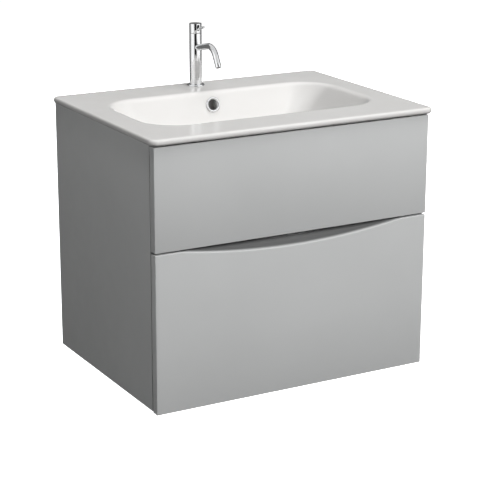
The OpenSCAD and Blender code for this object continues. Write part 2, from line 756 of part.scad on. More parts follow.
module tap_body() color(chrome) difference() {
  translate([0, y_tap, z_body_foot]) cylinder(r = tap_r, h = z_body_top - z_body_foot);
  translate([0, y_tap, z_body_top - cartridge_h - chamber_h])
    cylinder(r = cartridge_r + run_clear, h = cartridge_h + chamber_h + cut);
  spout_frame() translate([spout_in + tap_r / 2 - cut, 0, 0]) bar_x(spout_r + run_clear, tap_r);
  for (side = [left, right]) translate([side * inlet_x, y_tap + inlet_y, z_body_foot - cut])
    cylinder(r = passage_r, h = z_body_top - cartridge_h - chamber_h - z_body_foot + 2 * cut);
}

module tap_cartridge() color(plastic_grey) translate([0, y_tap, z_body_top]) difference() {
  union() {
    translate([0, 0, -cartridge_h]) cylinder(r = cartridge_r, h = cartridge_h);
    cylinder(r = cap_bore_r - run_clear, h = collar_h);
  }
  cylinder(r = collar_bore_r, h = collar_h + cut);
  for (side = [left, right]) translate([side * 4.5, 0, -cartridge_h - cut]) cylinder(r = 2, h = 8);
}

module tap_cap() color(chrome) difference() {
  translate([0, y_tap, z_cap]) cylinder(r = tap_r, h = cap_h);
  translate([0, y_tap, z_cap - cut]) cylinder(r = cap_bore_r, h = hollow_h + cut);
  translate([-trunnion_l / 2 - hole_clear, y_tap, z_pivot]) bar_x(trunnion_r + run_clear, trunnion_l + 2 * hole_clear);
  lever_slot();
}

// The slot that the lever lifts in: as wide as the lever, with round ends
module lever_slot() {
  slot_r = lever_r + fit_clear;
  low = z_pivot + cap_bore_r * tan(lever_rise) - lever_r / cos(lever_rise) - fit_clear + slot_r;
  top = z_pivot + tap_r * tan(lever_rise + lever_lift) + lever_r / cos(lever_rise + lever_lift) + fit_clear - slot_r;
  for (z = [low, top]) translate([0, y_tap - 4, z]) rotate([90, 0, 0]) cylinder(r = slot_r, h = tap_r);
  block([-slot_r, y_tap - 4 - tap_r, low], [slot_r, y_tap - 4, top]);
}

module tap_lever() color(chrome) translate([0, y_tap, z_pivot]) {
  translate([-barrel_l / 2, 0, 0]) bar_x(barrel_r, barrel_l);
  translate([-trunnion_l / 2, 0, 0]) bar_x(trunnion_r, trunnion_l);
  rotate([90 - lever_rise, 0, 0]) {
    cylinder(r = lever_r, h = lever_l - lever_r);
    translate([0, 0, lever_l - lever_r]) sphere(r = lever_r);
  }
}

module tap_washer() color(zinc) translate([0, y_tap, z_deck - washer_t]) difference() {
  cylinder(r = washer_r, h = washer_t);
  translate([0, -7, -cut]) cylinder(r = 12.5, h = washer_t + 2 * cut);
  block([-12.5, -washer_r - cut, -cut], [12.5, -7, washer_t + cut]);
  translate([0, stud_y, -cut]) cylinder(r = stud_r + hole_clear, h = washer_t + 2 * cut);
}

module tap_stud() color(zinc)
  translate([0, y_tap + stud_y, z_rim - tap_foot + stud_in - fit_clear - stud_l]) cylinder(r = stud_r, h = stud_l);

module tap_nut() color(zinc) translate([0, y_tap + stud_y, z_deck - washer_t - nut_h]) difference() {
  cylinder(r = 6.3, h = nut_h, $fn = 6);
  translate([0, 0, -cut]) cylinder(r = stud_r + run_clear, h = nut_h + 2 * cut);
}

/* What is drawn */

side_panel(left);  // side_left
side_panel(right);  // side_right
bottom_panel();
front_rail();
middle_rail();
back_rail(z_upper_rail, cams_upper_rail);  // back_upper_rail
back_rail(z_lower_rail, cams_lower_rail);  // back_lower_rail
hanger(left);  // hanger_left
hanger(right);  // hanger_right
wall_plate(left);  // wall_plate_left
wall_plate(right);  // wall_plate_right
carcass_screws();
cam_discs();
cam_bolts();
front_bumpers();
runner_outer(left, z_upper_runner);  // runner_outer_upper_left
runner_outer(right, z_upper_runner);  // runner_outer_upper_right
runner_outer(left, z_lower_runner);  // runner_outer_lower_left
runner_outer(right, z_lower_runner);  // runner_outer_lower_right
runner_mid(left, z_upper_runner);  // runner_mid_upper_left
runner_mid(right, z_upper_runner);  // runner_mid_upper_right
runner_mid(left, z_lower_runner);  // runner_mid_lower_left
runner_mid(right, z_lower_runner);  // runner_mid_lower_right
runner_inner(left, z_upper_runner);  // runner_inner_upper_left
runner_inner(right, z_upper_runner);  // runner_inner_upper_right
runner_inner(left, z_lower_runner);  // runner_inner_lower_left
runner_inner(right, z_lower_runner);  // runner_inner_lower_right
upper_front();
box_side(left, z_upper_box, upper_box_h, z_upper_runner, upper_bracket_z);  // upper_side_left
box_side(right, z_upper_box, upper_box_h, z_upper_runner, upper_bracket_z);  // upper_side_right
upper_bottom();
upper_back(left);  // upper_back_left
upper_back(right);  // upper_back_right
upper_trap_surround();
brackets(upper_bracket_z);  // upper_brackets
drawer_screws(z_upper_runner, upper_bracket_z);  // upper_screws
lower_front();
box_side(left, z_lower_box, lower_box_h, z_lower_runner, lower_bracket_z);  // lower_side_left
box_side(right, z_lower_box, lower_box_h, z_lower_runner, lower_bracket_z);  // lower_side_right
lower_bottom();
lower_back();
brackets(lower_bracket_z);  // lower_brackets
drawer_screws(z_lower_runner, lower_bracket_z);  // lower_screws
basin();
overflow_ring();
waste_body();
waste_gasket();
waste_nut();
waste_plug();
tap_base();
tap_foot_block();
tap_body();
tap_spout();
tap_aerator();
tap_cartridge();
tap_cap();
tap_lever();
tap_washer();
tap_stud();
tap_nut();
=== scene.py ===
import json
import math

import bmesh
import bpy
from mathutils import Matrix, Vector


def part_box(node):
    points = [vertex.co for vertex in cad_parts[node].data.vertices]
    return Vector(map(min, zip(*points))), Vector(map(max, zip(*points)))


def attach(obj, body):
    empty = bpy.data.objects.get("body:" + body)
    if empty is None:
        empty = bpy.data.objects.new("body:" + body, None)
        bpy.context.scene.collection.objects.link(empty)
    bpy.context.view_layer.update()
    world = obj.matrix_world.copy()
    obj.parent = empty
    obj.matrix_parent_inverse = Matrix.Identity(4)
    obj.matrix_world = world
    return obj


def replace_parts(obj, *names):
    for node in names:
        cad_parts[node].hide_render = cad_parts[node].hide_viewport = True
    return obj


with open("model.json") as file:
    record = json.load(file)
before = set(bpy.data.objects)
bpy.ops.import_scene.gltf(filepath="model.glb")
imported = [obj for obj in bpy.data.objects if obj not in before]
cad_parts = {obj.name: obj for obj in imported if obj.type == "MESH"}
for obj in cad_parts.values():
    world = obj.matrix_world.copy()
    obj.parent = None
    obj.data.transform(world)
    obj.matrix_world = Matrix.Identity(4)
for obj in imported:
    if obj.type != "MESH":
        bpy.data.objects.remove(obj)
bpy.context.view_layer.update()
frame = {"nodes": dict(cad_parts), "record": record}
BODY = {n: b for b, ns in frame["record"]["behaviour"]["bodies"].items() for n in ns}
MM = 0.001

# Places shared by several pieces
Y_TAP = -0.038           # axis of the tap
Y_WASTE = -0.234         # axis of the waste
Y_BOWL_BACK = -0.106     # back of the bowl at the rim
OVERFLOW_DROP = 0.027    # how far the overflow is below the rim
OVERFLOW_LEAN = math.radians(14)  # how far the bowl's back wall leans there


# ---------------------------------------------------------------- mesh tools

def add_object(name, verts, faces, smooth=35.0):
    mesh = bpy.data.meshes.new(name)
    mesh.from_pydata([tuple(v) for v in verts], [], [tuple(f) for f in faces])
    mesh.validate()
    obj = bpy.data.objects.new(name, mesh)
    bpy.context.collection.objects.link(obj)
    tidy(obj)
    shade(obj, smooth)
    return obj


def tidy(obj):
    """Merges doubled points and turns the faces outwards."""
    bm = bmesh.new()
    bm.from_mesh(obj.data)
    bmesh.ops.remove_doubles(bm, verts=bm.verts, dist=2e-6)
    bmesh.ops.recalc_face_normals(bm, faces=bm.faces)
    bm.to_mesh(obj.data)
    bm.free()


def shade(obj, angle):
    for p in obj.data.polygons:
        p.use_smooth = True
    obj.data.set_sharp_from_angle(angle=math.radians(angle))


def baked(obj):
    """Applies an object's modifiers to its mesh."""
    depsgraph = bpy.context.evaluated_depsgraph_get()
    mesh = bpy.data.meshes.new_from_object(obj.evaluated_get(depsgraph))
    obj.modifiers.clear()
    obj.data = mesh
    return obj


def loft_faces(rings, count, loop_rings=False):
    faces = []
    total = rings if loop_rings else rings - 1
    for i in range(total):
        j = (i + 1) % rings
        for k in range(count):
            m = (k + 1) % count
            faces.append((i * count + k, i * count + m, j * count + m, j * count + k))
    return faces


def lathe(name, profile, place, count=96, closed=True, smooth=35.0):
    """Turns a profile of (radius, height) points round the local Z axis of the matrix place."""
    verts, faces, index = [], [], []
    for r, z in profile:
        if r < 1e-7:
            index.append([len(verts)] * count)
            verts.append(place @ Vector((0, 0, z)))
        else:
            index.append(list(range(len(verts), len(verts) + count)))
            verts += [place @ Vector((r * math.cos(2 * math.pi * k / count),
                                      r * math.sin(2 * math.pi * k / count), z)) for k in range(count)]
    steps = len(profile) if closed else len(profile) - 1
    for i in range(steps):
        a, b = index[i], index[(i + 1) % len(profile)]
        for k in range(count):
            m = (k + 1) % count
            face = []
            for v in (a[k], a[m], b[m], b[k]):
                if v not in face:
                    face.append(v)
            if len(face) > 2:
                faces.append(face)
    return add_object(name, verts, faces, smooth)


def rounded(points, radius, steps=4):
    """Rounds the corners of a closed (radius, height) profile. Points on the axis stay."""
    out = []
    n = len(points)
    for i, p in enumerate(points):
        p = Vector(p)
        a, b = Vector(points[i - 1]), Vector(points[(i + 1) % n])
        la, lb = (a - p).length, (b - p).length
        if p.x < 1e-7 or la < 1e-9 or lb < 1e-9:
            out.append(tuple(p))
            continue
        cut = min(radius, la * 0.45, lb * 0.45)
        s, e = p + (a - p) / la * cut, p + (b - p) / lb * cut
        for k in range(steps + 1):
            t = k / steps
            out.append(tuple(s * (1 - t) ** 2 + p * 2 * t * (1 - t) + e * t * t))
    return out


def stand_for(obj, node, slot):
    """Makes a piece ride, replace and be finished as a CAD node."""
    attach(obj, BODY[node])
    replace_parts(obj, node)
    obj.data.materials.clear()
    obj.data.materials.append(MATERIALS[slot])
    return obj


def softened(node, width, segments=3, limit=40.0, smooth=35.0):
    """A copy of a CAD node with its sharp edges broken, as a tool or a lacquer coat leaves them."""
    bm = bmesh.new()
    bm.from_mesh(frame["nodes"][node].data)
    bmesh.ops.remove_doubles(bm, verts=bm.verts, dist=1e-6)
    bmesh.ops.dissolve_limit(bm, angle_limit=math.radians(0.3), verts=bm.verts, edges=bm.edges)
    bm.verts.index_update()
    verts = [v.co.copy() for v in bm.verts]
    faces = [[v.index for v in f.verts] for f in bm.faces]
    bm.free()
    mesh = bpy.data.meshes.new(node + "_edges")
    mesh.from_pydata(verts, [], faces)
    obj = bpy.data.objects.new(node + "_edges", mesh)
    bpy.context.collection.objects.link(obj)
    bevel = obj.modifiers.new("edges", "BEVEL")
    bevel.limit_method = "ANGLE"
    bevel.angle_limit = math.radians(limit)
    bevel.width = width
    bevel.segments = segments
    bevel.use_clamp_overlap = True
    baked(obj)
    shade(obj, smooth)
    return obj


# ---------------------------------------------------------------- materials

SCOOP_W, SCOOP_D = 0.490, 0.0205  # how wide and how deep the finger scoop is cut, seen from the front


def new_material(name):
    mat = bpy.data.materials.new(name)
    mat.use_nodes = True
    nodes, links = mat.node_tree.nodes, mat.node_tree.links
    nodes.clear()
    out = nodes.new("ShaderNodeOutputMaterial")
    shader = nodes.new("ShaderNodeBsdfPrincipled")
    links.new(shader.outputs["BSDF"], out.inputs["Surface"])
    coords = nodes.new("ShaderNodeTexCoord")
    return mat, nodes, links, shader, coords


def noise(nodes, links, coords, scale, detail=2.0, stretch=None, rough=0.5):
    tex = nodes.new("ShaderNodeTexNoise")
    tex.inputs["Scale"].default_value = scale
    tex.inputs["Detail"].default_value = detail
    tex.inputs["Roughness"].default_value = rough
    source = coords.outputs["Object"]
    if stretch:
        mapping = nodes.new("ShaderNodeMapping")
        mapping.inputs["Scale"].default_value = stretch
        links.new(source, mapping.inputs["Vector"])
        source = mapping.outputs["Vector"]
    links.new(source, tex.inputs["Vector"])
    return tex.outputs["Fac"]


def spread(nodes, links, value, low, high, start=0.3, end=0.7):
    m = nodes.new("ShaderNodeMapRange")
    m.inputs["From Min"].default_value = start
    m.inputs["From Max"].default_value = end
    m.inputs["To Min"].default_value = low
    m.inputs["To Max"].default_value = high
    links.new(value, m.inputs["Value"])
    return m.outputs["Result"]


def tint(nodes, links, value, dark, light, start=0.3, end=0.7):
    ramp = nodes.new("ShaderNodeValToRGB")
    ramp.color_ramp.elements[0].position = start
    ramp.color_ramp.elements[0].color = (*dark, 1)
    ramp.color_ramp.elements[1].position = end
    ramp.color_ramp.elements[1].color = (*light, 1)
    links.new(value, ramp.inputs["Fac"])
    return ramp.outputs["Color"]


def bump(nodes, links, shader, layers):
    """Stacks bump layers of (value, strength, distance) on the shader's normal."""
    normal = None
    for value, strength, distance in layers:
        b = nodes.new("ShaderNodeBump")
        b.inputs["Strength"].default_value = strength
        b.inputs["Distance"].default_value = distance
        links.new(value, b.inputs["Height"])
        if normal is not None:
            links.new(normal, b.inputs["Normal"])
        normal = b.outputs["Normal"]
    links.new(normal, shader.inputs["Normal"])


def lacquer(name="lacquer_grey_matt", scoop_shade_painted=False):
    """Matt lacquer. On request, painted shade darkens the finger scoop, fading in behind its lip, in place of the
    shadow the upper front casts into it.
    """
    mat, nodes, links, s, c = new_material(name)
    cloud = noise(nodes, links, c, 5.0, 3.0)
    speck = noise(nodes, links, c, 900.0, 2.0)
    colour = tint(nodes, links, cloud, (0.498, 0.505, 0.504), (0.520, 0.527, 0.526))
    # painted shade: the scoop is coloured dark where the upper front's overhang would shade it
    if scoop_shade_painted:
        low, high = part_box("lower_front")
        split = nodes.new("ShaderNodeSeparateXYZ")
        links.new(c.outputs["Object"], split.inputs[0])
        off = nodes.new("ShaderNodeMath")
        off.operation = "ABSOLUTE"
        links.new(split.outputs["X"], off.inputs[0])
        # each row of the painted-shade mask: where from, fades in between these two, goes from 0 to 1
        masks = [(split.outputs["Y"], low.y + 0.0004, low.y + 0.0075),
                 (split.outputs["Y"], high.y, high.y - 0.0004),
                 (split.outputs["Z"], high.z - SCOOP_D - 0.0006, high.z - SCOOP_D),
                 (off.outputs[0], SCOOP_W / 2, SCOOP_W / 2 - 0.001)]
        painted_shade_mask = None
        for source, start, stop in masks:
            fade = nodes.new("ShaderNodeMapRange")
            fade.interpolation_type = "SMOOTHSTEP"
            fade.inputs["From Min"].default_value = start
            fade.inputs["From Max"].default_value = stop
            links.new(source, fade.inputs["Value"])
            if painted_shade_mask is None:
                painted_shade_mask = fade.outputs[0]
                continue
            both = nodes.new("ShaderNodeMath")
            both.operation = "MULTIPLY"
            links.new(painted_shade_mask, both.inputs[0])
            links.new(fade.outputs[0], both.inputs[1])
            painted_shade_mask = both.outputs[0]
        painted_shade = nodes.new("ShaderNodeMix")
        painted_shade.data_type = "RGBA"
        links.new(painted_shade_mask, painted_shade.inputs["Factor"])
        links.new(colour, painted_shade.inputs[6])
        # painted shade colour, standing in for the shadow inside the scoop
        painted_shade.inputs[7].default_value = (0.14, 0.142, 0.142, 1)
        colour = painted_shade.outputs[2]
    links.new(colour, s.inputs["Base Color"])
    links.new(spread(nodes, links, noise(nodes, links, c, 38.0, 4.0), 0.40, 0.52), s.inputs["Roughness"])
    s.inputs["Specular IOR Level"].default_value = 0.32
    peel = noise(nodes, links, c, 420.0, 1.0)
    bump(nodes, links, s, [(peel, 0.10, 0.00012), (speck, 0.05, 0.00005)])
    return mat


def melamine():
    mat, nodes, links, s, c = new_material("board_light_melamine")
    grain = noise(nodes, links, c, 60.0, 5.0, stretch=(14.0, 1.0, 14.0), rough=0.6)
    fleck = noise(nodes, links, c, 1500.0, 2.0)
    links.new(tint(nodes, links, grain, (0.66, 0.655, 0.635), (0.72, 0.715, 0.70), 0.25, 0.75), s.inputs["Base Color"])
    links.new(spread(nodes, links, grain, 0.42, 0.58), s.inputs["Roughness"])
    s.inputs["Specular IOR Level"].default_value = 0.4
    bump(nodes, links, s, [(grain, 0.22, 0.00015), (fleck, 0.12, 0.00008)])
    return mat


def ceramic():
    mat, nodes, links, s, c = new_material("ceramic_glaze")
    cloud = noise(nodes, links, c, 7.0, 2.0)
    links.new(tint(nodes, links, cloud, (0.600, 0.592, 0.580), (0.622, 0.615, 0.605)), s.inputs["Base Color"])
    links.new(spread(nodes, links, noise(nodes, links, c, 30.0, 3.0), 0.10, 0.17), s.inputs["Roughness"])
    s.inputs["Specular IOR Level"].default_value = 0.5
    wave = noise(nodes, links, c, 22.0, 1.0)
    pit = noise(nodes, links, c, 600.0, 1.0)
    bump(nodes, links, s, [(wave, 0.12, 0.0004), (pit, 0.03, 0.00006)])
    return mat


def chrome():
    mat, nodes, links, s, c = new_material("chrome_plate")
    s.inputs["Metallic"].default_value = 1.0
    haze = noise(nodes, links, c, 140.0, 4.0)
    links.new(tint(nodes, links, haze, (0.80, 0.81, 0.82), (0.88, 0.885, 0.89)), s.inputs["Base Color"])
    links.new(spread(nodes, links, haze, 0.035, 0.10), s.inputs["Roughness"])
    bump(nodes, links, s, [(noise(nodes, links, c, 260.0, 1.0), 0.02, 0.00005)])
    return mat


def zinc():
    mat, nodes, links, s, c = new_material("zinc_brushed")
    s.inputs["Metallic"].default_value = 1.0
    streak = noise(nodes, links, c, 30.0, 4.0, stretch=(60.0, 1.0, 60.0), rough=0.7)
    spangle = nodes.new("ShaderNodeTexVoronoi")
    spangle.inputs["Scale"].default_value = 160.0
    links.new(c.outputs["Object"], spangle.inputs["Vector"])
    links.new(tint(nodes, links, streak, (0.50, 0.515, 0.53), (0.66, 0.675, 0.69), 0.25, 0.75), s.inputs["Base Color"])
    links.new(spread(nodes, links, streak, 0.26, 0.44, 0.2, 0.8), s.inputs["Roughness"])
    bump(nodes, links, s, [(streak, 0.18, 0.00008), (spangle.outputs["Distance"], 0.04, 0.00005)])
    return mat


def rubber():
    mat, nodes, links, s, c = new_material("rubber_matt")
    dust = noise(nodes, links, c, 90.0, 4.0)
    links.new(tint(nodes, links, dust, (0.018, 0.018, 0.018), (0.045, 0.044, 0.043)), s.inputs["Base Color"])
    links.new(spread(nodes, links, dust, 0.62, 0.85), s.inputs["Roughness"])
    bump(nodes, links, s, [(noise(nodes, links, c, 1200.0, 2.0), 0.3, 0.0001)])
    return mat


def moulded(name, dark, light, low, high):
    mat, nodes, links, s, c = new_material(name)
    flow = noise(nodes, links, c, 70.0, 2.0, stretch=(1.0, 1.0, 3.0))
    links.new(tint(nodes, links, flow, dark, light), s.inputs["Base Color"])
    links.new(spread(nodes, links, flow, low, high), s.inputs["Roughness"])
    bump(nodes, links, s, [(noise(nodes, links, c, 900.0, 2.0), 0.15, 0.00008)])
    return mat


def soft_pad():
    mat, nodes, links, s, c = new_material("soft_clear_pad")
    milk = noise(nodes, links, c, 300.0, 3.0)
    links.new(tint(nodes, links, milk, (0.60, 0.62, 0.62), (0.72, 0.74, 0.74)), s.inputs["Base Color"])
    links.new(spread(nodes, links, milk, 0.25, 0.42), s.inputs["Roughness"])
    s.inputs["Transmission Weight"].default_value = 0.35
    s.inputs["IOR"].default_value = 1.45
    bump(nodes, links, s, [(noise(nodes, links, c, 700.0, 2.0), 0.08, 0.00008)])
    return mat


MATERIALS = {
    "lacquer_grey": lacquer(),
    "board_light": melamine(),
    "zinc_steel": zinc(),
    "chrome": chrome(),
    "ceramic": ceramic(),
    "rubber_black": rubber(),
    "plastic_dark": moulded("plastic_dark_moulded", (0.02, 0.02, 0.022), (0.035, 0.035, 0.038), 0.40, 0.55),
    "plastic_grey": moulded("plastic_grey_moulded", (0.17, 0.18, 0.19), (0.21, 0.22, 0.23), 0.25, 0.38),
    "soft_clear": soft_pad(),
}
SLOT = {p["node"]: p["material_slot"] for p in frame["record"]["subparts"]}
for node, obj in frame["nodes"].items():
    obj.data.materials.clear()
    obj.data.materials.append(MATERIALS[SLOT[node]])


# ---------------------------------------------------------------- boards

BOARDS = {
    "side_left": 0.9, "side_right": 0.9, "bottom_panel": 0.6, "front_rail": 0.5, "middle_rail": 0.5,
    "back_upper_rail": 0.5, "back_lower_rail": 0.5,
    "upper_front": 1.0, "upper_side_left": 0.5, "upper_side_right": 0.5, "upper_bottom": 0.4,
    "upper_back_left": 0.5, "upper_back_right": 0.5, "upper_trap_surround": 0.5,
    "lower_side_left": 0.5, "lower_side_right": 0.5, "lower_bottom": 0.4, "lower_back": 0.5,
}
for node, width in BOARDS.items():
    stand_for(softened(node, width * MM), node, SLOT[node])


# ---------------------------------------------------------------- lower front with its finger scoop

def lower_front():
    low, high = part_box("lower_front")
    x0, y0, z0 = low
    x1, y1, z1 = high
    width, depth, back, edge = SCOOP_W, SCOOP_D, 0.0025, 0.001
    thick = y1 - y0
    radius = (width ** 2 / 4 + depth ** 2) / (2 * depth)
    z_axis = z1 - depth + radius
    rise = depth - back
    slope = math.atan2(rise, thick)
    turn = slope - math.radians(30)
    bend = math.hypot(thick, rise)

    def fall(t):
        """How much the scoop's radius shrinks at a distance t behind the front face."""
        a = math.asin(min(1.0, math.sin(turn) + t / bend))
        return bend * (math.cos(turn) - math.cos(a))

    def surface(x, t):
        r = radius - fall(t)
        return z_axis - math.sqrt(max(r * r - x * x, 0.0)) if abs(x) < r else z1 + 1

    def end(x):
        """How far behind the front face the scoop meets the top edge."""
        if surface(x, 0.0) >= z1:
            return 0.0
        a, b = 0.0, thick
        if surface(x, b) < z1:
            return b
        for _ in range(40):
            m = (a + b) / 2
            if surface(x, m) < z1:
                a = m
            else:
                b = m
        return a

    def section(x, inset):
        def top(t):
            return min(surface(x, t), z1)
        pts = []
        for a in (0, 30, 60, 90):  # bottom front edge
            r = math.radians(a)
            pts.append((y0 + edge * (1 - math.sin(r)), z0 + edge * (1 - math.cos(r))))
        lip = 0.0020
        pts.append((y0, (z0 + top(0.0)) / 2))
        pts += [(y0, top(0.0) - lip), (y0 + 0.06 * lip, top(0.0) - 0.55 * lip),
                (y0 + 0.26 * lip, top(0.0) - 0.22 * lip),
                (y0 + 0.58 * lip, min(top(0.0), top(0.58 * lip)) - 0.04 * lip),
                (y0 + lip, top(lip))]
        stop = min(max(end(x), 0.0030), thick - edge - 0.0002)
        for k in range(1, 13):
            t = lip + (stop - lip) * k / 12
            pts.append((y0 + t, top(t)))
        pts.append((y0 + (stop + thick - edge) / 2, top((stop + thick - edge) / 2)))
        height = top(thick - edge)
        for a in (0, 30, 60, 90):  # top back edge
            r = math.radians(a)
            pts.append((y1 - edge * (1 - math.sin(r)), height - edge * (1 - math.cos(r))))
        for a in (0, 30, 60, 90):  # bottom back edge
            r = math.radians(a)
            pts.append((y1 - edge * (1 - math.cos(r)), z0 + edge * (1 - math.sin(r))))
        return [(min(max(y, y0 + inset), y1 - inset), min(max(z, z0 + inset), z1 - inset)) for y, z in pts]

    stations = [(x0, edge), (x0 + 0.0002, edge * 0.45), (x0 + 0.00055, edge * 0.13), (x0 + edge, 0.0)]
    n = 240
    inner = [-0.246 + 0.492 * k / n for k in range(n + 1)]
    stations += [(x, 0.0) for x in (-0.29, -0.27, -0.255)] + [(x, 0.0) for x in inner]
    stations += [(x, 0.0) for x in (0.255, 0.27, 0.29)]
    stations += [(x1 - edge, 0.0), (x1 - 0.00055, edge * 0.13), (x1 - 0.0002, edge * 0.45), (x1, edge)]
    verts, count = [], 0
    for x, inset in stations:
        pts = section(x, inset)
        count = len(pts)
        verts += [(x, y, z) for y, z in pts]
    faces = loft_faces(len(stations), count)
    faces.append(tuple(range(count)))
    faces.append(tuple(reversed(range((len(stations) - 1) * count, len(stations) * count))))
    return add_object("lower_front_scooped", verts, faces, 28.0)


scooped_front = stand_for(lower_front(), "lower_front", "lacquer_grey")
# this copy of the lacquer carries painted shade in the finger scoop
scooped_front.data.materials[0] = lacquer("lacquer_grey_painted_scoop_shade", True)


# ---------------------------------------------------------------- basin

HALF, ARC, FLANK = 14, 14, 10  # points along half a long side, a corner, half a short side


def rounded_ring(a, y0, y1, r, z):
    """A rounded rectangle from the middle of its right side, anticlockwise, with a fixed number of points."""
    ym = (y0 + y1) / 2
    b = (y1 - y0) / 2
    r = min(r, a - 1e-4, b - 1e-4)
    quarter = [(a, (b - r) * k / FLANK) for k in range(FLANK)]
    quarter += [(a - r + r * math.cos(t), b - r + r * math.sin(t))
                for t in [math.pi / 2 * k / ARC for k in range(ARC)]]
    quarter += [((a - r) * (1 - k / HALF), b) for k in range(HALF + 1)]
    pts = quarter[:]
    pts += [(-x, y) for x, y in reversed(quarter[:-1])]
    pts += [(-x, -y) for x, y in quarter[1:]]
    pts += [(x, -y) for x, y in reversed(quarter[1:-1])]
    return [Vector((x, ym + y, z)) for x, y in pts]


def circle_ring(like, cy, r, z):
    out = []
    for p in like:
        d = Vector((p.x, p.y - cy))
        d.normalize()
        out.append(Vector((d.x * r, cy + d.y * r, z)))
    return out


def spline(controls, steps=4):
    """A uniform cubic B-spline through tuples, with its ends tied to the first and last control."""
    c = [controls[0]] * 2 + list(controls) + [controls[-1]] * 2
    out = []
    for i in range(len(c) - 3):
        for k in range(steps):
            t = k / steps
            w = ((1 - t) ** 3 / 6, (3 * t ** 3 - 6 * t * t + 4) / 6,
                 (-3 * t ** 3 + 3 * t * t + 3 * t + 1) / 6, t ** 3 / 6)
            out.append(tuple(sum(w[j] * c[i + j][m] for j in range(4)) for m in range(len(c[0]))))
    out.append(tuple(controls[-1]))
    return out


def overflow_place(z):
    """Where the overflow's axis meets the bowl, with local Z along the axis."""
    return Matrix.Translation((0, Y_BOWL_BACK - OVERFLOW_DROP * math.tan(OVERFLOW_LEAN), z)) @ Matrix.Rotation(
        math.pi / 2 - OVERFLOW_LEAN, 4, "X")


